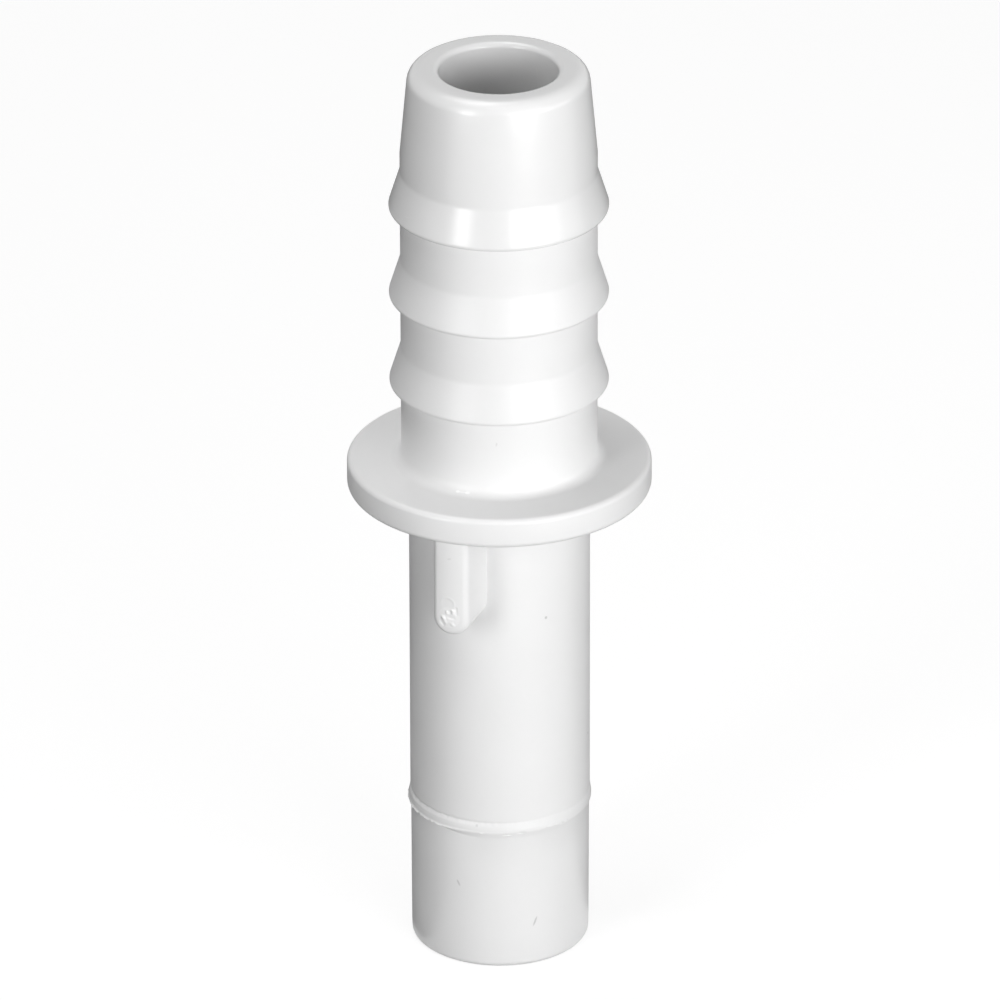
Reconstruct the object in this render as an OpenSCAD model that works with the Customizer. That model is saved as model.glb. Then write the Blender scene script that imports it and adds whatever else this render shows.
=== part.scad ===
// Hose stem: a push-in spigot under a stop collar, with a barbed hose tail above it.
// It is one moulded piece, open from end to end, and it stands on the end of its spigot.
// The axis is Z, the foot of the spigot is at Z = 0, and the key under the collar faces -Y.

/* [Spigot] */
// Diameter of the sealing length, between the bead and the collar
spigot_d = 9.525; // [8.6:0.005:10.6]
// Length from the free end to the underside of the collar
spigot_len = 26.35; // [20:0.05:36]
// How much smaller the lead-in below the bead is than the sealing length
lead_undersize = 0.1; // [0.05:0.005:0.3]
// Height of the ridge of the bead above the free end
lead_len = 8.16; // [4:0.02:12]
// How far the ridge stands out of the sealing length, before it is rounded
bead_proud = 0.085; // [0.03:0.005:0.2]
// Length of the bead's gentle slope, above its ridge
bead_rise = 0.54; // [0.3:0.02:1.2]
// Length of its steeper slope, below the ridge
bead_drop = 0.36; // [0.2:0.02:0.8]
// Rounding of the ridge
bead_round = 0.4; // [0.1:0.05:0.6]
// Rounding of the outer edge at the free end
end_round = 0.33; // [0.1:0.01:0.5]

/* [Collar] */
// Diameter of the collar
collar_d = 16; // [15.4:0.1:22]
// Thickness of the collar
collar_t = 1.65; // [1:0.05:3]
// Rounding of its upper edge
collar_top_round = 0.3; // [0.05:0.01:0.45]
// Rounding of its lower edge
collar_under_round = 0.3; // [0.05:0.01:0.45]
// Fillet under the collar, where the spigot runs into it
stop_fillet = 0.15; // [0.05:0.01:0.4]

/* [Key] */
// Width of the key
key_w = 1.8; // [1.2:0.05:3]
// Length of the key below the collar
key_len = 5.35; // [3:0.05:9]
// Height of the key above the spigot
key_h = 2.78; // [1.5:0.02:2.9]
// Radius of the gently crowned face of the key
key_crown = 4; // [2.5:0.1:20]
// Rounding along the edges of that face
key_edge_round = 0.13; // [0.05:0.01:0.3]
// Diameter of the gate mark in the face of the key
gate_d = 0.9; // [0.4:0.05:1.1]
// Depth of the gate mark
gate_depth = 0.12; // [0.05:0.01:0.3]

/* [Hose tail] */
// Diameter of the neck between the barbs
neck_d = 10.3; // [9.6:0.05:10.8]
// Largest diameter of a barb
barb_d = 11.5; // [11.2:0.05:13]
// Number of barbs
barb_count = 3; // [1:1:6]
// Distance from one barb to the next
barb_pitch = 5; // [3.6:0.05:8]
// Length of the slope of each barb
barb_slope = 2.12; // [1.4:0.02:3]
// Plain neck between the collar and the first barb
neck_run = 4.3; // [2:0.05:10]
// Fillet between the collar and the neck
neck_fillet = 0.6; // [0.2:0.05:0.9]
// Rounding of the crest of each barb
crest_round = 0.2; // [0.05:0.01:0.25]
// Fillet under each barb
barb_fillet = 0.15; // [0.05:0.01:0.25]
// Blend where the slope of a barb runs into the neck
slope_blend = 0.8; // [0.2:0.1:2]
// Plain length above the last barb
land_len = 0.95; // [0.4:0.05:3]
// Length of the tapered nose
nose_len = 4.83; // [2:0.01:10]
// Diameter of the nose at its tip, before its edge is rounded
nose_d = 9.42; // [8.6:0.02:10]
// Rounding of the edge of the tip
nose_round = 0.8; // [0.2:0.05:1]

/* [Bore] */
// Diameter of the bore
bore_d = 6.25; // [4:0.05:7]
// Rounding of both mouths of the bore
lip_round = 0.3; // [0.05:0.01:0.4]

/* [Hidden] */
$fn = 72;

// Largest turn between two points of a rounding, in degrees
arc_step = 18;
// Points on each half of the crown of the key
crown_steps = 3;

bore_r = bore_d / 2;
spigot_r = spigot_d / 2;
lead_r = spigot_r - lead_undersize / 2;
bead_r = spigot_r + bead_proud;

collar_top = spigot_len + collar_t;
neck_r = neck_d / 2;
slope_drop = barb_d / 2 - neck_r;
// The crest before it is rounded: the rounding takes it back to barb_d
slope_angle = atan(slope_drop / barb_slope);
sharp_crest_r = barb_d / 2 + crest_round * (tan(slope_angle) + 1 / cos(slope_angle) - 1);
first_crest = collar_top + neck_run;
last_crest = first_crest + (barb_count - 1) * barb_pitch;
nose_start = last_crest + barb_slope + land_len;
total_len = nose_start + nose_len;

key_end_r = key_w / 2;
// Height of the centre of the key's round end
key_end_z = spigot_len - key_len + key_end_r;
key_face_r = spigot_r + key_h;
// Radius of the ball that leaves a dish of this width and depth
gate_ball_r = (gate_d * gate_d / 4 + gate_depth * gate_depth) / (2 * gate_depth);
// The key starts inside the wall of the spigot, and runs up into the collar
key_root_r = (bore_r + spigot_r) / 2;
key_sink = collar_t / 2;

// Unit vector from one point of an outline to another
function toward(a, b) = (b - a) / norm(b - a);

// Half the angle of the corner at v, between its neighbours a and b
function half_angle(a, v, b) = acos(toward(v, a) * toward(v, b)) / 2;

// The rounding that a corner has room for: it takes at most half of each side
function room(a, v, b, r) =
    min(r, tan(half_angle(a, v, b)) * min(norm(a - v), norm(b - v)) / 2);

// Points of the arc of radius r that rounds the corner at v
function arc(a, v, b, r) =
    let (
        half = half_angle(a, v, b),
        centre = v + (toward(v, a) + toward(v, b)) * r / sin(2 * half),
        first = v + toward(v, a) * r / tan(half) - centre,
        turn = 180 - 2 * half,
        side = sign(cross(v - a, b - v)),
        steps = ceil(turn / arc_step)
    )
    [for (i = [0:steps])
        let (t = side * turn * i / steps)
        centre + [first.x * cos(t) - first.y * sin(t), first.x * sin(t) + first.y * cos(t)]];

// An outline of [x, y, rounding] corners, with each corner that has a rounding as an arc
function rounded(corners) =
    let (n = len(corners), flat = [for (c = corners) [c.x, c.y]])
    [for (i = [0:n - 1])
        let (a = flat[(i + n - 1) % n], v = flat[i], b = flat[(i + 1) % n], r = corners[i].z)
        for (p = r > 0 ? arc(a, v, b, room(a, v, b, r)) : [v]) p];

// Corners of one barb, from its flat underside up its slope
function barb_corners(z) = [
    [neck_r, z, barb_fillet],
    [sharp_crest_r, z, crest_round],
    [neck_r, z + barb_slope, slope_blend]
];

// Outer corners of the hose tail, from the top of the collar to the tip
tail_corners = concat(
    [[neck_r, collar_top, neck_fillet]],
    [for (i = [0:barb_count - 1]) each barb_corners(first_crest + i * barb_pitch)],
    [
        [neck_r, nose_start, 0],
        [nose_d / 2, total_len, nose_round],
        [bore_r, total_len, lip_round]
    ]
);

// Corners of the spigot, its bead and the collar, from the lower mouth of the bore
spigot_corners = [
    [bore_r, 0, lip_round],
    [lead_r, 0, end_round],
    [lead_r, lead_len - bead_drop, 0],
    [bead_r, lead_len, bead_round],
    [spigot_r, lead_len + bead_rise, 0],
    [spigot_r, spigot_len, stop_fillet],
    [collar_d / 2, spigot_len, collar_under_round],
    [collar_d / 2, collar_top, collar_top_round]
];

// Everything that is round about the axis
module turned_body() {
    rotate_extrude()
        polygon(rounded(concat(spigot_corners, tail_corners)));
}

// Corners of the right half of the key's section: across it, and out from the axis
key_corners = concat(
    [[0, key_root_r, 0], [key_end_r, key_root_r, 0], [key_end_r, key_rim_r(key_end_r), key_edge_round]],
    [for (i = [crown_steps - 1:-1:0]) let (x = key_end_r * i / crown_steps) [x, key_rim_r(x), 0]]
);

// Distance from the axis to the crowned face, at x to the side of the key's middle
function key_rim_r(x) = key_face_r - key_crown + sqrt(key_crown * key_crown - x * x);

// Straight length of the key, up into the collar
module key_run() {
    half = rounded(key_corners);
    translate([0, 0, key_end_z])
        linear_extrude(height = spigot_len + key_sink - key_end_z)
            for (side = [0, 1])
                mirror([side, 0])
                    mirror([0, 1])
                        polygon(half);
}

// Round lower end of the key: half a turn of the same section, about a line out from the axis
module key_end() {
    translate([0, 0, key_end_z])
        rotate([90, 0, 0])
            rotate([0, 0, 180])
                rotate_extrude(angle = 180)
                    polygon(rounded(key_corners));
}

// Shallow dish where the melt came in, in the middle of the key's round end
module gate_mark() {
    translate([0, gate_depth - gate_ball_r - key_face_r, key_end_z])
        sphere(r = gate_ball_r);
}

module hose_stem() {
    color("whitesmoke")
        difference() {
            union() {
                turned_body();
                key_run();
                key_end();
            }
            gate_mark();
        }
}

hose_stem();
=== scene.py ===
"""A moulded hose stem in satin white plastic, standing on a pale studio floor."""
import math
import bpy
from mathutils import Matrix, Vector, noise


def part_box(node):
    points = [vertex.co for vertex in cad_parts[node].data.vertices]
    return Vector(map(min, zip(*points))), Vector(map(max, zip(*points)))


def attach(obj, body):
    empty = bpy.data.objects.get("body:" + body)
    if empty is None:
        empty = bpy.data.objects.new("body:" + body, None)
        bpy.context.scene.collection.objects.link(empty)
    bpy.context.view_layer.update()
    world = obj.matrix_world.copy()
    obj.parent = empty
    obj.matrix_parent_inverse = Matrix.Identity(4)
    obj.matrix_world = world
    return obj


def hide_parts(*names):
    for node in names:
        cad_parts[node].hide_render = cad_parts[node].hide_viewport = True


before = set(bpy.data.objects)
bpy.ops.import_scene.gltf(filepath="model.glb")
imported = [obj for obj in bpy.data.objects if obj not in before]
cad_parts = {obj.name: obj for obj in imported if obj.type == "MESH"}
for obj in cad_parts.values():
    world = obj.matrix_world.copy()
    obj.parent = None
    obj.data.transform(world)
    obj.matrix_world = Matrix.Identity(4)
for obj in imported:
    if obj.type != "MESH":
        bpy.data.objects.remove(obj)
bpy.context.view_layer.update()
stem_low, stem_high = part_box("hose_stem")
bpy.context.scene.view_settings.view_transform = "Standard"

# Lengths of the stem are in millimetres, and this takes them to metres. The studio's are in metres.
MM = 0.001

# Sizes taken from the frame
TOTAL_LEN = stem_high.z / MM
COLLAR_R = stem_high.x / MM

# Spigot
SPIGOT_R = 4.7625
SPIGOT_LEN = 26.35
LEAD_R = 4.7125
LEAD_DRAFT = 0.012
LEAD_LEN = 8.16
BEAD_PROUD = 0.085
BEAD_RISE = 0.54
BEAD_DROP = 0.36
BEAD_ROUND = 0.4
END_ROUND = 0.33

# Collar
COLLAR_TOP = 28.0
COLLAR_TOP_ROUND = 0.3
COLLAR_UNDER_ROUND = 0.34
STOP_FILLET = 0.15

# Key under the collar
KEY_HALF = 1.0
KEY_LEN = 5.55
KEY_FACE_R = 7.5425
KEY_CROWN = 3.2
KEY_EDGE_ROUND = 0.32
KEY_ROOT_FILLET = 0.04
KEY_END_Z = SPIGOT_LEN - KEY_LEN + KEY_HALF

# Hose tail
NECK_R = 5.15
BARB_R = 5.75
BARB_COUNT = 3
BARB_PITCH = 5.0
BARB_SLOPE = 2.12
FIRST_CREST = 32.3
LAST_CREST = FIRST_CREST + (BARB_COUNT - 1) * BARB_PITCH
NECK_FILLET = 0.6
CREST_ROUND = 0.2
BARB_FILLET = 0.15
SLOPE_BLEND = 0.8
LAND_LEN = 0.95
NOSE_R = 4.71
NOSE_ROUND = 0.8

# Bore
BORE_R = 3.125
LIP_ROUND = 0.3

# Fineness of the mesh: columns round the stem, and the longest steps along its outline
COLUMNS = 440
ARC_STEP = math.radians(13)
WALL_STEP = 2.0
BORE_STEP = 4.0
BEAD_STEP = 0.034
# Where the bead's finer steps are: between two heights, and how far in from the wall below it
BEAD_BAND = (7.7, 8.9)
BEAD_MARGIN = 0.1
# How close to the bore's radius a point on its wall is
BORE_MARGIN = 0.001
# Share of a step by which a piece may be too long before it is divided once more
STEP_SLACK = 0.01


# Outline of everything that is round about the axis

def corner_arc(before, corner, after, radius):
    """Points of the arc that rounds an outline's corner, or the corner itself if it has no rounding."""
    if radius == 0:
        return [corner]
    to_before = (before - corner).normalized()
    to_after = (after - corner).normalized()
    half = to_before.angle(to_after) / 2
    centre = corner + (to_before + to_after) * radius / math.sin(2 * half)
    first = corner + to_before * radius / math.tan(half) - centre
    turn = math.pi - 2 * half
    side = math.copysign(1, (corner - before).cross(after - corner))
    steps = math.ceil(turn / ARC_STEP)
    return [centre + Matrix.Rotation(side * turn * i / steps, 2) @ first for i in range(steps + 1)]


def rounded(corners):
    """A closed outline of (radius, height, rounding) corners, with its roundings as arcs."""
    flat = [Vector(c[:2]) for c in corners]
    points = []
    for i, corner in enumerate(corners):
        points += corner_arc(flat[i - 1], flat[i], flat[(i + 1) % len(flat)], corner[2])
    return points


def barb_corners(crest_z):
    """One barb, from its flat underside up its slope."""
    slope = math.atan((BARB_R - NECK_R) / BARB_SLOPE)
    sharp_r = BARB_R + CREST_ROUND * (math.tan(slope) + 1 / math.cos(slope) - 1)
    return [
        (NECK_R, crest_z, BARB_FILLET),
        (sharp_r, crest_z, CREST_ROUND),
        (NECK_R, crest_z + BARB_SLOPE, SLOPE_BLEND),
    ]


def stem_corners():
    """The whole outline, from the lower mouth of the bore, up the outside and back to the bore."""
    corners = [
        (BORE_R, 0, LIP_ROUND),
        (LEAD_R - LEAD_DRAFT, 0, END_ROUND),
        (LEAD_R + LEAD_DRAFT, BEAD_BAND[0], 0),
        (LEAD_R + LEAD_DRAFT, LEAD_LEN - BEAD_DROP, 0),
        (SPIGOT_R + BEAD_PROUD, LEAD_LEN, BEAD_ROUND),
        (SPIGOT_R, LEAD_LEN + BEAD_RISE, 0),
        (SPIGOT_R, BEAD_BAND[1], 0),
        (SPIGOT_R, SPIGOT_LEN, STOP_FILLET),
        (COLLAR_R, SPIGOT_LEN, COLLAR_UNDER_ROUND),
        (COLLAR_R, COLLAR_TOP, COLLAR_TOP_ROUND),
        (NECK_R, COLLAR_TOP, NECK_FILLET),
    ]
    for i in range(BARB_COUNT):
        corners += barb_corners(FIRST_CREST + i * BARB_PITCH)
    nose_start = LAST_CREST + BARB_SLOPE + LAND_LEN
    corners += [
        (NECK_R, nose_start, 0),
        (NOSE_R, TOTAL_LEN, NOSE_ROUND),
        (BORE_R, TOTAL_LEN, LIP_ROUND),
    ]
    return corners


def by_bead(point):
    """Whether a point of the outline is on the bead or close to it."""
    return point.x > LEAD_R - BEAD_MARGIN and BEAD_BAND[0] < point.y < BEAD_BAND[1]


def wall_step(point, after):
    """How long the pieces may be, between two points of the outline."""
    if max(point.x, after.x) < BORE_R + BORE_MARGIN:
        return BORE_STEP
    return BEAD_STEP if by_bead(point.lerp(after, 0.5)) else WALL_STEP


def divided(points):
    """The outline with its long stretches divided, so that the walls can be a little uneven."""
    result = []
    for i, point in enumerate(points):
        after = points[(i + 1) % len(points)]
        pieces = math.ceil((after - point).length / wall_step(point, after) - STEP_SLACK)
        result += [point.lerp(after, k / pieces) for k in range(pieces)]
    return result


# Unevenness that the mould and the parting line leave. Azimuth 0 is at the key, and it grows
# towards +X, in degrees.

def bump(distance, reach):
    """1 in the middle, falling smoothly to 0 at the reach."""
    t = max(0.0, 1.0 - abs(distance) / reach)
    return t * t * (3 - 2 * t)


def turn_between(a, b):
    """The angle from b to a, in degrees, the short way round."""
    return (a - b + 180) % 360 - 180


def ragged(azimuth, z, scale, seed):
    """Noise that runs round the stem without a seam, from about -1 to 1."""
    a = math.radians(azimuth)
    return noise.noise(Vector((scale * math.sin(a), scale * math.cos(a), seed + z)))


# Each kind of raggedness: how fine it is, and its seed
EDGE_RAGS = (12, 7.0)
FLASH_RAGS = (34, 3.0)
GROOVE_RAGS = (26, 11.0)
WALL_RAGS = (1.4, 19.0)

# The bead's lower edge at places round the stem: azimuth, height of the edge, how long the step
# below it is, and how far a thin flash juts out of it
BEAD_EDGE = [
    (-160, 8.05, 0.15, 0.02),
    (-75, 8.05, 0.20, 0.05),
    (-45, 7.99, 0.06, 0.09),
    (-20, 8.00, 0.08, 0.06),
    (-4, 8.06, 0.32, 0.01),
    (10, 8.14, 0.50, 0.0),
    (34, 8.18, 0.52, 0.0),
    (50, 8.18, 0.56, 0.0),
    (80, 8.16, 0.56, 0.0),
    (110, 8.14, 0.40, 0.0),
    (200, 8.05, 0.15, 0.02),
]
BEAD_HEIGHT = SPIGOT_R + BEAD_PROUD - LEAD_R - LEAD_DRAFT
# How far its edge and its groove wander up and down
EDGE_WANDER = 0.02
# The flash: how far it reaches up and down, its usual share of its full size, and how far that
# share swings, so that it is missing in places
FLASH_REACH = 0.10
FLASH_SHARE = 0.75
FLASH_SWING = 0.9
# The groove along the bead's upper edge, and how far its depth swings
GROOVE_SWING = 0.5
GROOVE_Z = 8.65
GROOVE_REACH_UP = 0.10
GROOVE_REACH_DOWN = 0.26
# Where it is deepest: azimuth, how far it reaches each way, depth
GROOVES = [
    (-48, 110, 0.070),
    (84, 30, 0.040),
]
# Small nicks in the bead, or specks on it where the depth is negative: azimuth, height, reach
# round the stem, reach up it, depth
BEAD_NICKS = [
    (24.4, 7.97, 0.28, 0.06, 0.045),
    (34.1, 8.05, 0.28, 0.06, 0.055),
    (63.0, 8.05, 0.10, 0.08, 0.04),
    (67.0, 8.10, 0.10, 0.08, 0.04),
    (-12.0, 8.72, 0.12, 0.07, 0.03),
    (-20.0, 8.66, 0.14, 0.07, 0.03),
    (8.4, 8.04, 0.16, 0.06, -0.05),
    (26.0, 7.92, 0.14, 0.06, -0.04),
    (52.0, 8.12, 0.20, 0.05, -0.03),
    (57.5, 8.10, 0.14, 0.05, -0.03),
]
# How far the wall strays from a true round, and over what height that changes
WANDER = 0.004
WANDER_HEIGHT = 6


def bead_edge(azimuth):
    """The edge's height, the length of its step and its flash, between the places given."""
    first = BEAD_EDGE[0][0]
    turned = (azimuth - first) % 360 + first
    for before, after in zip(BEAD_EDGE, BEAD_EDGE[1:]):
        if turned <= after[0]:
            share = (turned - before[0]) / (after[0] - before[0])
            return [b + (a - b) * share for b, a in zip(before[1:], after[1:])]


def bead_relief(azimuth, z):
    """How far the edge, the groove and the nicks push the bead's surface out of its plain outline."""
    edge, step, flash = bead_edge(azimuth)
    wander = EDGE_WANDER * ragged(azimuth, 0, *EDGE_RAGS)
    edge += wander
    plain = BEAD_HEIGHT * max(0.0, min(1.0, (z - LEAD_LEN + BEAD_DROP) / BEAD_DROP))
    full = BEAD_HEIGHT * bump(max(0.0, edge - z), step)
    relief = full - plain if z < LEAD_LEN else 0.0
    torn = flash * max(0.0, FLASH_SHARE + FLASH_SWING * ragged(azimuth, 0, *FLASH_RAGS))
    relief += torn * bump(z - edge, FLASH_REACH if z > edge else min(step, FLASH_REACH))
    reach = GROOVE_REACH_UP if z > GROOVE_Z else GROOVE_REACH_DOWN
    deep = sum(depth * bump(turn_between(azimuth, middle), side) for middle, side, depth in GROOVES)
    groove = deep * (1 + GROOVE_SWING * ragged(azimuth, 0, *GROOVE_RAGS))
    relief -= groove * bump(z - GROOVE_Z - wander, reach)
    for nick_azimuth, nick_z, across, along, depth in BEAD_NICKS:
        gap = math.radians(turn_between(azimuth, nick_azimuth)) * SPIGOT_R
        relief -= depth * bump(gap, across) * bump(z - nick_z, along)
    return relief


def ring_row(point):
    """One ring of the turned body, in metres."""
    near_bead = by_bead(point)
    row = []
    for j in range(COLUMNS):
        azimuth = 360 * j / COLUMNS
        out = point.x
        if point.x > BORE_R + LIP_ROUND:
            out += WANDER * ragged(azimuth, point.y / WANDER_HEIGHT, *WALL_RAGS)
        if near_bead:
            out += bead_relief(azimuth, point.y)
        a = math.radians(azimuth)
        row.append(Vector((out * math.sin(a), -out * math.cos(a), point.y)) * MM)
    return row


def turned_body():
    """Vertices and faces of the spigot, bead, collar, neck, barbs, nose and bore."""
    rows = [ring_row(p) for p in divided(rounded(stem_corners()))]
    faces = []
    for i in range(len(rows)):
        here, above = i * COLUMNS, (i + 1) % len(rows) * COLUMNS
        for j in range(COLUMNS):
            k = (j + 1) % COLUMNS
            faces.append((here + j, here + k, above + k, above + j))
    return [v for row in rows for v in row], faces


# The key: a plate that stands out of the spigot, with a round lower end and a crowned face.
# Across is X, up is Z, and out is the distance from the axis towards -Y.

# How far it runs up into the collar, and how deep it sinks into the spigot's wall
KEY_INTO_COLLAR = 0.7
KEY_SINK = 0.3
KEY_TOP_Z = SPIGOT_LEN + KEY_INTO_COLLAR
# The fillet round its root: how far it turns, in how many steps
KEY_ROOT_TURN = math.radians(75)
KEY_ROOT_STEPS = 4
# Fineness of its mesh: steps across it, rows of its round end, and rows of its straight run, which
# are closer together below the fine top, near the gate
KEY_ACROSS = 64
KEY_END_ROWS = 34
KEY_FINE_ROWS = 50
KEY_FINE_TOP = 23.3
KEY_COARSE_ROWS = 9
# How strongly the steps are drawn to its edges: 0 is evenly spaced
KEY_EDGE_PULL = 0.6

# The broken gate: a shallow dish with a faint rim round its upper right, and torn bits below it.
# It is given by its middle, and by how close to the edge of the key its marks fade out.
GATE_MIDDLE = (-0.11, 22.70)
GATE_FADE = 0.2
# The rim: its radius, how far it stands out, how wide it is, and how it fades to the lower left
GATE_RIM_R = 0.38
GATE_RIM = 0.014
GATE_RIM_REACH = 0.09
GATE_RIM_FADE = 0.4
# The dish: its depth, the radius of its flat middle, and how wide the slope round that is
GATE_DISH = 0.010
GATE_DISH_R = 0.2
GATE_DISH_SLOPE = 0.2
# The torn part: how far it reaches, and how rough and how fine the break in it is
TORN_MIDDLE = (-0.04, 21.93)
TORN_REACH = 0.7
TORN_ROUGH = 0.012
TORN_FINENESS = 7
# Each bit runs from one point to another: across, up, across, up, reach, how far it stands out
TORN_BITS = [
    (-0.12, 22.24, -0.12, 22.20, 0.13, 0.065),
    (0.20, 22.34, 0.20, 22.22, 0.14, 0.065),
    (0.38, 22.50, 0.39, 22.14, 0.08, -0.035),
    (0.03, 22.32, 0.04, 22.15, 0.07, -0.025),
    (-0.36, 21.92, -0.32, 21.84, 0.16, 0.070),
    (-0.25, 21.68, -0.21, 21.60, 0.12, 0.030),
    (-0.46, 21.62, -0.36, 21.46, 0.12, -0.030),
    (0.14, 21.56, 0.20, 21.52, 0.15, 0.040),
    (-0.02, 21.95, 0.22, 21.92, 0.14, -0.025),
]


def spread(t):
    """Moves evenly spaced steps from -1 to 1 closer together near the ends."""
    return KEY_EDGE_PULL * math.sin(math.pi * t / 2) + (1 - KEY_EDGE_PULL) * t


def key_grid():
    """Rows of (across, up, distance from the rim) from the top of the key to its round end."""
    across = [spread(2 * i / KEY_ACROSS - 1) for i in range(KEY_ACROSS + 1)]
    coarse = KEY_FINE_TOP - KEY_TOP_Z
    fine = KEY_END_Z - KEY_FINE_TOP
    heights = [KEY_TOP_Z + coarse * i / KEY_COARSE_ROWS for i in range(KEY_COARSE_ROWS)]
    heights += [KEY_FINE_TOP + fine * i / KEY_FINE_ROWS for i in range(KEY_FINE_ROWS + 1)]
    rows = [[(KEY_HALF * u, z, KEY_HALF * (1 - abs(u))) for u in across] for z in heights]
    for i in range(1, KEY_END_ROWS + 1):
        t = spread(i / KEY_END_ROWS)
        row = []
        for u in across:
            # Takes a square grid to a half disc
            x = KEY_HALF * u * math.sqrt(1 - t * t / 2)
            drop = KEY_HALF * t * math.sqrt(1 - u * u / 2)
            row.append((x, KEY_END_Z - drop, max(0.0, KEY_HALF - math.hypot(x, drop))))
        rows.append(row)
    return rows


def gate_relief(x, z):
    """How far the gate's dish and its torn bits stand out of the key's face."""
    point = Vector((x, z))
    from_gate = (point - Vector(GATE_MIDDLE)).length
    upper_right = bump(max(0.0, GATE_MIDDLE[0] + GATE_MIDDLE[1] - x - z), GATE_RIM_FADE)
    relief = GATE_RIM * upper_right * bump(from_gate - GATE_RIM_R, GATE_RIM_REACH)
    relief -= GATE_DISH * bump(max(0.0, from_gate - GATE_DISH_R), GATE_DISH_SLOPE)
    for from_x, from_z, to_x, to_z, reach, height in TORN_BITS:
        start, run = Vector((from_x, from_z)), Vector((to_x - from_x, to_z - from_z))
        along = max(0.0, min(1.0, (point - start).dot(run) / run.length_squared))
        relief += height * bump((point - start - run * along).length, reach)
    torn = bump((point - Vector(TORN_MIDDLE)).length, TORN_REACH)
    return relief + TORN_ROUGH * torn * noise.noise(Vector((x, z, 0)) * TORN_FINENESS)


def key_out(x, z, inset):
    """Distance of the key's face from the axis."""
    off_middle = KEY_HALF - inset
    out = KEY_FACE_R - KEY_CROWN + math.sqrt(KEY_CROWN ** 2 - off_middle ** 2)
    if inset < KEY_EDGE_ROUND:
        out -= KEY_EDGE_ROUND - math.sqrt(KEY_EDGE_ROUND ** 2 - (KEY_EDGE_ROUND - inset) ** 2)
    return out + gate_relief(x, z) * bump(max(0.0, GATE_FADE - inset), GATE_FADE)


def key_rim(rows):
    """Grid places round the edge of the key, each with the direction that points out of it."""
    last = len(rows) - 1
    right = len(rows[0]) - 1
    rim = [(i, 0) for i in range(last)] + [(last, j) for j in range(right)]
    rim += [(i, right) for i in range(last, 0, -1)] + [(0, j) for j in range(right, 0, -1)]
    result = []
    for i, j in rim:
        x, z, _ = rows[i][j]
        if z < KEY_END_Z:
            way = Vector((x, z - KEY_END_Z)).normalized()
        elif j in (0, right):
            way = Vector((math.copysign(1, x), 0))
        else:
            way = Vector((0, 0))
        result.append((i, j, way))
    return result


def key_root_steps():
    """(how far out of the rim, how far above the spigot) down the key's root fillet, and into the wall."""
    steps = []
    for i in range(KEY_ROOT_STEPS + 1):
        angle = KEY_ROOT_TURN * i / KEY_ROOT_STEPS
        outset = KEY_ROOT_FILLET * (1 - math.cos(angle))
        rise = KEY_ROOT_FILLET * (1 - math.sin(angle))
        steps.append((outset, rise))
    steps.append((steps[-1][0], -KEY_SINK))
    return steps


def key_plate():
    """Vertices and faces of the key, as a closed solid that starts inside the spigot's wall."""
    rows = key_grid()
    width = len(rows[0])
    points = [Vector((x, -key_out(x, z, inset), z)) for row in rows for x, z, inset in row]
    faces = [
        (i * width + j, (i + 1) * width + j, (i + 1) * width + j + 1, i * width + j + 1)
        for i in range(len(rows) - 1)
        for j in range(width - 1)
    ]
    rim = key_rim(rows)
    ring = [i * width + j for i, j, _ in rim]
    for outset, rise in key_root_steps():
        lower = list(range(len(points), len(points) + len(rim)))
        for i, j, way in rim:
            x = rows[i][j][0] + way.x * outset
            z = rows[i][j][1] + way.y * outset
            points.append(Vector((x, -(math.sqrt(SPIGOT_R ** 2 - x * x) + rise), z)))
        for k in range(len(rim)):
            after = (k + 1) % len(rim)
            faces.append((ring[after], ring[k], lower[k], lower[after]))
        ring = lower
    faces.append(tuple(ring))
    return [p * MM for p in points], faces


# Making the mesh

def mesh_object(name, vertices, faces):
    """A new object of these vertices and faces, placed in the scene."""
    mesh = bpy.data.meshes.new(name)
    mesh.from_pydata(vertices, [], faces)
    mesh.validate()
    made = bpy.data.objects.new(name, mesh)
    bpy.context.scene.collection.objects.link(made)
    return made


def joined(body, plate):
    """The body with the plate moulded on, as one closed mesh."""
    join = body.modifiers.new("moulded_on", "BOOLEAN")
    join.operation = "UNION"
    join.solver = "EXACT"
    join.object = plate
    seen = body.evaluated_get(bpy.context.evaluated_depsgraph_get())
    mesh = bpy.data.meshes.new_from_object(seen)
    body.modifiers.clear()
    body.data = mesh
    bpy.data.objects.remove(plate)
    return body


# An edge that turns more than this is shaded sharp
SHARP_ANGLE = math.radians(60)


def make_stem():
    """The whole stem, as one moulding."""
    body = mesh_object("hose_stem_moulding", *turned_body())
    plate = mesh_object("key_plate", *key_plate())
    stem = joined(body, plate)
    stem.data.shade_smooth()
    stem.data.set_sharp_from_angle(angle=SHARP_ANGLE)
    return stem


# Materials

def new_group(name, inputs, outputs):
    """An empty node group. Inputs are (name, kind, value), and outputs are (name, kind)."""
    group = bpy.data.node_groups.new(name, "ShaderNodeTree")
    for label, kind, value in inputs:
        socket = group.interface.new_socket(label, in_out="INPUT", socket_type=kind)
        socket.default_value = value
    for label, kind in outputs:
        group.interface.new_socket(label, in_out="OUTPUT", socket_type=kind)
    return group, group.nodes.new("NodeGroupInput"), group.nodes.new("NodeGroupOutput")


def maths(tree, operation, first, second=None):
    """A Math node. Each side is a socket or a number."""
    node = tree.nodes.new("ShaderNodeMath")
    node.operation = operation
    for socket, value in zip(node.inputs, (first, second)):
        if isinstance(value, bpy.types.NodeSocket):
            tree.links.new(value, socket)
        elif value is not None:
            socket.default_value = value
    return node.outputs[0]


def vector_maths(tree, operation, first, second=None):
    """The outputs of a Vector Math node. Each side is a socket."""
    node = tree.nodes.new("ShaderNodeVectorMath")
    node.operation = operation
    for socket, value in zip(node.inputs, (first, second)):
        if value is not None:
            tree.links.new(value, socket)
    return node.outputs


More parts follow.
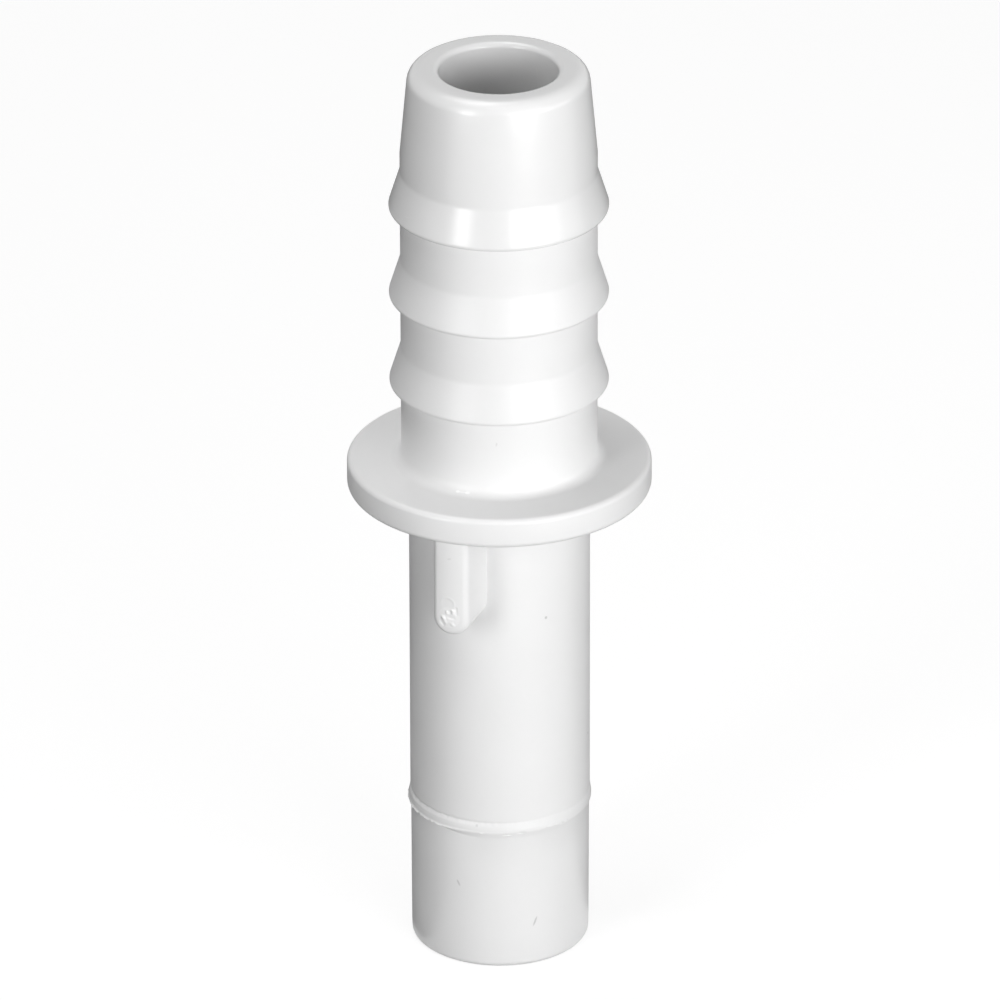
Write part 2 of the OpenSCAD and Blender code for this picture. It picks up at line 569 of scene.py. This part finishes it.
def remap(tree, value, from_low, from_high, to_low, to_high):
    """Takes one range of values to another, and holds it inside."""
    node = tree.nodes.new("ShaderNodeMapRange")
    tree.links.new(value, node.inputs["Value"])
    labels = ("From Min", "From Max", "To Min", "To Max")
    for label, number in zip(labels, (from_low, from_high, to_low, to_high)):
        node.inputs[label].default_value = number
    return node.outputs["Result"]


def place(tree):
    """Where a point is on the stem, in metres."""
    return tree.nodes.new("ShaderNodeTexCoord").outputs["Object"]


def noise_of(tree, position, scale, detail):
    """A Noise Texture. Its scale and its detail are sockets or numbers."""
    node = tree.nodes.new("ShaderNodeTexNoise")
    tree.links.new(position, node.inputs["Vector"])
    for label, value in (("Scale", scale), ("Detail", detail)):
        if isinstance(value, bpy.types.NodeSocket):
            tree.links.new(value, node.inputs[label])
        else:
            node.inputs[label].default_value = value
    return node.outputs["Fac"]


# Shares of the grain and of the flow in the height of the surface
GRAIN_SHARE = 0.7
FLOW_SHARE = 0.3


def mould_grain_group():
    """The fine bite of the mould's surface, and the soft flow of the melt under it."""
    group, given, result = new_group(
        "mould_grain",
        [("Grain Scale", "NodeSocketFloat", 9000.0), ("Flow Scale", "NodeSocketFloat", 260.0)],
        [("Height", "NodeSocketFloat"), ("Flow", "NodeSocketFloat")],
    )
    where = place(group)
    grain = noise_of(group, where, given.outputs["Grain Scale"], detail=3.0)
    flow = noise_of(group, where, given.outputs["Flow Scale"], detail=2.0)
    grain_part = maths(group, "MULTIPLY", grain, GRAIN_SHARE)
    flow_part = maths(group, "MULTIPLY", flow, FLOW_SHARE)
    height = maths(group, "ADD", grain_part, flow_part)
    group.links.new(height, result.inputs["Height"])
    group.links.new(flow, result.inputs["Flow"])
    return group


# A mark is full inside the first of these, and gone at the second. They are squares of the distance
# from its middle, where 1 is at its half length or half width.
MARK_FULL = 0.35
MARK_GONE = 1.3


def spot_mask_group():
    """A mask for one short mark or one spot of painted light, at a place on the stem and along a
    direction.
    """
    group, given, result = new_group(
        "spot_mask",
        [
            ("Centre", "NodeSocketVector", (0, 0, 0)),
            ("Along", "NodeSocketVector", (0, 0, 1)),
            ("Half Length", "NodeSocketFloat", 0.0003),
            ("Half Width", "NodeSocketFloat", 0.00005),
        ],
        [("Mask", "NodeSocketFloat")],
    )
    gap = vector_maths(group, "SUBTRACT", place(group), given.outputs["Centre"])["Vector"]
    along = vector_maths(group, "DOT_PRODUCT", gap, given.outputs["Along"])["Value"]
    distance = vector_maths(group, "LENGTH", gap)["Value"]
    distance_squared = maths(group, "POWER", distance, 2.0)
    along_squared = maths(group, "POWER", along, 2.0)
    aside_squared = maths(group, "SUBTRACT", distance_squared, along_squared)
    aside = maths(group, "SQRT", maths(group, "MAXIMUM", aside_squared, 0.0))
    far_along = maths(group, "DIVIDE", maths(group, "ABSOLUTE", along), given.outputs["Half Length"])
    far_aside = maths(group, "DIVIDE", aside, given.outputs["Half Width"])
    far = maths(group, "ADD", maths(group, "POWER", far_along, 2.0), maths(group, "POWER", far_aside, 2.0))
    group.links.new(remap(group, far, MARK_FULL, MARK_GONE, 1.0, 0.0), result.inputs["Mask"])
    return group


# Hairlines: how they lean, in radians, how they are drawn out, how thin they are, and how fine the
# patches are in which they show
SCUFF_LEAN = (0.5, 0.3, 0.2)
SCUFF_STRETCH = (1.0, 1.0, 0.07)
SCUFF_THIN = 0.012
SCUFF_PATCHES = 320.0


def scuff_group():
    """Faint hairlines from handling: a mask that is 1 in the middle of a hairline."""
    group, given, result = new_group(
        "scuffs",
        [("Scale", "NodeSocketFloat", 500.0), ("Spread", "NodeSocketFloat", 0.5)],
        [("Mask", "NodeSocketFloat")],
    )
    where = place(group)
    lean = group.nodes.new("ShaderNodeMapping")
    lean.inputs["Rotation"].default_value = SCUFF_LEAN
    lean.inputs["Scale"].default_value = SCUFF_STRETCH
    group.links.new(where, lean.inputs["Vector"])
    lines = noise_of(group, lean.outputs["Vector"], given.outputs["Scale"], detail=0.0)
    off_line = maths(group, "ABSOLUTE", maths(group, "SUBTRACT", lines, 0.5))
    thin = remap(group, off_line, 0.0, SCUFF_THIN, 1.0, 0.0)
    patches = noise_of(group, where, SCUFF_PATCHES, detail=1.0)
    kept = maths(group, "GREATER_THAN", patches, maths(group, "SUBTRACT", 1.0, given.outputs["Spread"]))
    group.links.new(maths(group, "MULTIPLY", thin, kept), result.inputs["Mask"])
    return group


GROUPS = {"grain": mould_grain_group(), "spot_mask": spot_mask_group(), "scuffs": scuff_group()}


def use(tree, effect, **values):
    """Places one of the shared effects, with its own values."""
    node = tree.nodes.new("ShaderNodeGroup")
    node.node_tree = GROUPS[effect]
    for label, value in values.items():
        node.inputs[label.replace("_", " ")].default_value = value
    return node


def on_stem(azimuth, z, radius):
    """A place on the outside of the stem, in metres."""
    a = math.radians(azimuth)
    return Vector((radius * math.sin(a), -radius * math.cos(a), z)) * MM


def along_wall(azimuth, lean):
    """A direction that lies on the wall at an azimuth, leaning from upright by some degrees."""
    a = math.radians(azimuth)
    tilt = math.radians(lean)
    return Vector((math.cos(a) * math.sin(tilt), math.sin(a) * math.sin(tilt), math.cos(tilt)))


# Small marks in the surface of the spigot, the neck and the key, and spots of painted light: painted shade
# in three nicks of the bead, and painted glints on the neck's fillet. Each is azimuth, height, radius,
# lean, half length, half width, and how much darker it is, or lighter where it is negative
STEM_MARKS_AND_PAINTED_LIGHT = [
    (51.0, 20.45, SPIGOT_R, 0, 0.09, 0.085, 0.30),
    (-7.6, 4.82, LEAD_R, -28, 0.20, 0.06, 0.22),
    (43.4, 2.60, LEAD_R, 22, 0.30, 0.06, 0.28),
    (98.2, 12.10, SPIGOT_R, 0, 0.07, 0.05, 0.5),
    (18.7, 31.03, NECK_R, 10, 0.12, 0.05, 0.12),
    (0.0, 25.34, KEY_FACE_R, 70, 0.11, 0.06, 0.10),
    # Painted shade: these three darken the bead's nicks, where shade falls in them
    (5.4, 8.46, SPIGOT_R + 0.05, 0, 0.09, 0.08, 0.14),
    (34.1, 8.08, SPIGOT_R, 84, 0.14, 0.05, 0.12),
    (22.0, 7.93, LEAD_R, 86, 0.14, 0.04, 0.10),
    # Painted glints: these three are lighter than the plastic, as bright specks of light on the neck's
    # fillet
    (-3.7, 28.18, 5.32, 80, 0.12, 0.08, -0.15),
    (2.1, 28.19, 5.31, 80, 0.14, 0.08, -0.15),
    (-0.8, 28.18, 5.32, 88, 0.26, 0.04, -0.10),
]


# How strongly the plastic bends light
PLASTIC_IOR = 1.49
# The range of the flow that the finish follows, and how light the plastic is where the flow is
# low, when it is 1 where the flow is high
FLOW_RANGE = (0.3, 0.7)
FLOW_SHADE = 0.985
# How much rougher a hairline is, and how deep it and a mark are, in depths of the grain
SCUFF_ROUGH = 0.06
SCUFF_DEPTH = 0.15
MARK_DEPTH = 4.0
# Mix of black and the lightest white that gives the plain colour, so that a painted glint can be lighter
PLAIN_SHADE = 0.85


def plastic(name, colour, rough, grain_depth, scuff_spread, marks_and_painted_light=()):
    """White moulded plastic. Rough is (least, most) roughness over the flow of the melt. Its marks include
    painted shade and painted glints.
    """
    material = bpy.data.materials.new(name)
    material.use_nodes = True
    tree = material.node_tree
    shader = tree.nodes["Principled BSDF"]
    shader.inputs["IOR"].default_value = PLASTIC_IOR
    grain = use(tree, "grain")
    flow = grain.outputs["Flow"]
    hairlines = use(tree, "scuffs", Spread=scuff_spread).outputs["Mask"]
    roughness = remap(tree, flow, *FLOW_RANGE, *rough)
    roughness = maths(tree, "ADD", roughness, maths(tree, "MULTIPLY", hairlines, SCUFF_ROUGH))
    tree.links.new(roughness, shader.inputs["Roughness"])
    shade = remap(tree, flow, *FLOW_RANGE, FLOW_SHADE * PLAIN_SHADE, PLAIN_SHADE)
    height = grain.outputs["Height"]
    height = maths(tree, "SUBTRACT", height, maths(tree, "MULTIPLY", hairlines, SCUFF_DEPTH))
    # Each mark darkens the colour, or lightens it where its darkness is negative: this paints shade into
    # the bead's nicks and glints onto the neck's fillet
    for azimuth, z, radius, lean, half_length, half_width, darkness in marks_and_painted_light:
        mark = use(
            tree, "spot_mask",
            Centre=on_stem(azimuth, z, radius), Along=along_wall(azimuth, lean),
            Half_Length=half_length * MM, Half_Width=half_width * MM,
        ).outputs["Mask"]
        height = maths(tree, "SUBTRACT", height, maths(tree, "MULTIPLY", mark, MARK_DEPTH))
        darkening = maths(tree, "MULTIPLY", mark, darkness)
        shade = maths(tree, "MULTIPLY", shade, maths(tree, "SUBTRACT", 1.0, darkening))
    tint = tree.nodes.new("ShaderNodeMix")
    tint.data_type = "RGBA"
    tint.blend_type = "MIX"
    tint.inputs["A"].default_value = (0.0, 0.0, 0.0, 1.0)
    tint.inputs["B"].default_value = (*[c / PLAIN_SHADE for c in colour], 1.0)
    tree.links.new(shade, tint.inputs["Factor"])
    tree.links.new(tint.outputs["Result"], shader.inputs["Base Color"])
    relief = tree.nodes.new("ShaderNodeBump")
    relief.inputs["Strength"].default_value = 1.0
    relief.inputs["Distance"].default_value = grain_depth * MM
    tree.links.new(height, relief.inputs["Height"])
    tree.links.new(relief.outputs["Normal"], shader.inputs["Normal"])
    return material


SATIN_WHITE = (0.82, 0.82, 0.82)
SMOOTH_WHITE = (0.80, 0.80, 0.80)
TORN_WHITE = (0.85, 0.85, 0.85)
# Places of the three finishes in the stem's list of materials
SATIN, SMOOTH, TORN = range(3)
# The nose was moulded in a smoother insert, which starts a little below the last crest
INSERT_OVERLAP = 0.05
POLISHED_ABOVE = LAST_CREST - INSERT_OVERLAP
# The torn finish: how far in from the key's face it reaches, and how far round the break
TORN_DEPTH = 0.4
TORN_R = 0.6


def dress(stem):
    """Gives each face its finish: satin up to the last crest, smoother above it, torn at the gate."""
    satin = plastic(
        "satin_white_plastic", SATIN_WHITE,
        rough=(0.36, 0.42), grain_depth=0.0010, scuff_spread=0.38, marks_and_painted_light=STEM_MARKS_AND_PAINTED_LIGHT,
    )
    smooth = plastic(
        "smooth_white_plastic", SMOOTH_WHITE,
        rough=(0.20, 0.24), grain_depth=0.0005, scuff_spread=0.30,
    )
    torn = plastic(
        "torn_gate_plastic", TORN_WHITE,
        rough=(0.30, 0.50), grain_depth=0.0040, scuff_spread=0.0,
    )
    for material in (satin, smooth, torn):
        stem.data.materials.append(material)
    for face in stem.data.polygons:
        middle = face.center / MM
        if middle.z > POLISHED_ABOVE:
            face.material_index = SMOOTH
        elif -middle.y > KEY_FACE_R - TORN_DEPTH and (middle.xz - Vector(TORN_MIDDLE)).length < TORN_R:
            face.material_index = TORN
        else:
            face.material_index = SATIN


# Camera, as fitted to the outline in the photograph: the stem seen from above, a little to the
# right of the key. Its lens and sensor are in millimetres, and its reach is as far as it sees.

VIEW_AZIMUTH = math.radians(20.4)
VIEW_ELEVATION = math.radians(25.967)
VIEW_DISTANCE = 0.70193
VIEW_REACH = 20
VIEW_LENS = 480.86
VIEW_SENSOR = 36
VIEW_ROLL = math.radians(0.126)
VIEW_MIDDLE_Z = 0.02532
VIEW_ASIDE = 0.000029


def make_camera():
    """The camera at the photograph's viewing angle."""
    sin_a, cos_a = math.sin(VIEW_AZIMUTH), math.cos(VIEW_AZIMUTH)
    sin_e, cos_e = math.sin(VIEW_ELEVATION), math.cos(VIEW_ELEVATION)
    back = Vector((sin_a * cos_e, -cos_a * cos_e, sin_e))
    right = Vector((cos_a, sin_a, 0))
    up = back.cross(right)
    rolled_right = right * math.cos(VIEW_ROLL) - up * math.sin(VIEW_ROLL)
    rolled_up = up * math.cos(VIEW_ROLL) + right * math.sin(VIEW_ROLL)
    camera = bpy.data.objects.new("camera", bpy.data.cameras.new("camera"))
    camera.data.lens = VIEW_LENS
    camera.data.sensor_width = VIEW_SENSOR
    camera.data.clip_end = VIEW_REACH
    turned = Matrix((rolled_right, rolled_up, back)).transposed().to_4x4()
    target = Vector((0, 0, VIEW_MIDDLE_Z)) + right * VIEW_ASIDE
    camera.matrix_world = Matrix.Translation(target + back * VIEW_DISTANCE) @ turned
    bpy.context.scene.collection.objects.link(camera)
    bpy.context.scene.camera = camera


# Light and floor

def seen_directly(tree):
    """1 for rays that show the surroundings themselves: from the camera, a gloss or clear glass."""
    path = tree.nodes.new("ShaderNodeLightPath").outputs
    first = maths(tree, "MAXIMUM", path["Is Camera Ray"], path["Is Glossy Ray"])
    return maths(tree, "MAXIMUM", first, path["Is Transmission Ray"])


# Strength of the soft light from all round
AMBIENT = 0.02


def make_world():
    """White where it is seen, and dim as a light, so that the lamps do the work."""
    world = bpy.data.worlds.new("studio")
    world.use_nodes = True
    bpy.context.scene.world = world
    tree = world.node_tree
    soft = tree.nodes["Background"]
    soft.inputs["Color"].default_value = (AMBIENT, AMBIENT, AMBIENT, 1)
    white = tree.nodes.new("ShaderNodeBackground")
    white.inputs["Color"].default_value = (1, 1, 1, 1)
    mix = tree.nodes.new("ShaderNodeMixShader")
    tree.links.new(seen_directly(tree), mix.inputs[0])
    tree.links.new(soft.outputs[0], mix.inputs[1])
    tree.links.new(white.outputs[0], mix.inputs[2])
    tree.links.new(mix.outputs[0], tree.nodes["World Output"].inputs["Surface"])


FLOOR_HALF = 3.0
# Its own colour keeps the stem's shadow faint, and its glow, where it is seen, makes it white
FLOOR_GREY = 0.25
FLOOR_GLOW = 0.815
FLOOR_ROUGH = 0.9


def make_floor():
    """The pale floor that the stem stands on."""
    corner = FLOOR_HALF
    floor = mesh_object(
        "studio_floor",
        [(-corner, -corner, 0), (corner, -corner, 0), (corner, corner, 0), (-corner, corner, 0)],
        [(0, 1, 2, 3)],
    )
    material = bpy.data.materials.new("pale_floor")
    material.use_nodes = True
    tree = material.node_tree
    shader = tree.nodes["Principled BSDF"]
    shader.inputs["Base Color"].default_value = (FLOOR_GREY, FLOOR_GREY, FLOOR_GREY, 1)
    shader.inputs["Roughness"].default_value = FLOOR_ROUGH
    shader.inputs["Emission Color"].default_value = (1, 1, 1, 1)
    glow = maths(tree, "MULTIPLY", seen_directly(tree), FLOOR_GLOW)
    tree.links.new(glow, shader.inputs["Emission Strength"])
    floor.data.materials.append(material)


# The black cards: how near to the axis they start, how far they go, and how high they lie
CARD_INNER_R = 0.0048
CARD_OUTER_R = 0.8
CARD_LIFT = 0.0005
CARD_STEPS = 12
CARD_BLACK = 0.01


def floor_card(name, first_azimuth, last_azimuth):
    """A black card on the floor that only the gloss sees: it darkens the edges of the white plastic,
    so that they stand out from the white floor. Its azimuths are from the camera, to its right."""
    vertices = []
    width = last_azimuth - first_azimuth
    for i in range(CARD_STEPS + 1):
        a = VIEW_AZIMUTH + math.radians(first_azimuth + width * i / CARD_STEPS)
        way = Vector((math.sin(a), -math.cos(a), 0))
        low = Vector((0, 0, CARD_LIFT))
        vertices += [way * CARD_INNER_R + low, way * CARD_OUTER_R + low]
    faces = [(i, i + 1, i + 3, i + 2) for i in range(0, 2 * CARD_STEPS, 2)]
    card = mesh_object(name, vertices, faces)
    material = bpy.data.materials.new(name)
    material.use_nodes = True
    shader = material.node_tree.nodes["Principled BSDF"]
    shader.inputs["Base Color"].default_value = (CARD_BLACK, CARD_BLACK, CARD_BLACK, 1)
    shader.inputs["Roughness"].default_value = 1.0
    card.data.materials.append(material)
    card.visible_camera = False
    card.visible_diffuse = False
    card.visible_shadow = False


# Each card: name, first and last azimuth, in degrees
FLOOR_CARDS = [
    ("left_card", -180, -60),
    ("right_card", 100, 180),
]


def make_cards():
    """The black cards to the left and to the right of the stem."""
    for card in FLOOR_CARDS:
        floor_card(*card)


# Height that the lamps face
LIGHTS_MIDDLE_Z = 0.044


def softbox(name, shape, azimuth, elevation, distance, size, power):
    """An area light that faces the upper part of the stem. Azimuth is from the camera, to its right."""
    light = bpy.data.objects.new(name, bpy.data.lights.new(name, "AREA"))
    light.data.shape = shape
    light.data.size = size[0]
    light.data.size_y = size[1]
    light.data.energy = power
    a, e = VIEW_AZIMUTH + math.radians(azimuth), math.radians(elevation)
    way = Vector((math.sin(a) * math.cos(e), -math.cos(a) * math.cos(e), math.sin(e)))
    light.location = Vector((0, 0, LIGHTS_MIDDLE_Z)) + way * distance
    light.rotation_euler = way.to_track_quat("Z", "Y").to_euler()
    light.visible_camera = False
    bpy.context.scene.collection.objects.link(light)
    return light


def make_lights():
    """The lamps: name, shape, azimuth, elevation, distance, (width, height) and power in watts."""
    softbox("main_octabox", "DISK", 44, 7, 0.13, (0.124, 0.124), 0.020)
    softbox("right_softbox", "RECTANGLE", 30, 12, 0.35, (0.22, 0.12), 0.51)
    softbox("right_low_softbox", "RECTANGLE", 30, -5, 0.25, (0.14, 0.04), 0.10)
    softbox("right_high_softbox", "RECTANGLE", 45, 42, 0.35, (0.2, 0.2), 0.026)
    softbox("right_side_softbox", "RECTANGLE", 60, 8, 0.35, (0.12, 0.12), 0.155)
    softbox("far_right_softbox", "RECTANGLE", 85, 8, 0.35, (0.12, 0.12), 0.12)
    softbox("left_strip", "RECTANGLE", -36, 14, 0.30, (0.07, 0.18), 0.17)
    softbox("far_left_strip", "RECTANGLE", -43, 12, 0.30, (0.053, 0.18), 0.092)
    softbox("left_low_softbox", "RECTANGLE", -38, 2, 0.25, (0.1, 0.06), 0.008)
    softbox("left_octabox", "DISK", -38, 8, 0.13, (0.06, 0.06), 0.015)
    softbox("front_top_softbox", "RECTANGLE", 0, 55, 0.35, (0.1, 0.06), 0.044)
    softbox("left_top_softbox", "RECTANGLE", -90, 75, 0.35, (0.16, 0.16), 0.25)
    softbox("back_top_softbox", "RECTANGLE", -140, 70, 0.35, (0.2, 0.2), 0.24)
    softbox("far_top_softbox", "RECTANGLE", 180, 75, 0.35, (0.16, 0.16), 0.125)
    back = softbox("back_softbox", "RECTANGLE", 180, -4, 0.35, (0.20, 0.05), 0.40)
    # Its gloss would hide the far edge of the tip against the white
    back.visible_glossy = False


make_camera()
make_world()
make_floor()
make_cards()
make_lights()

stem = make_stem()
dress(stem)
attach(stem, "root")
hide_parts("hose_stem")
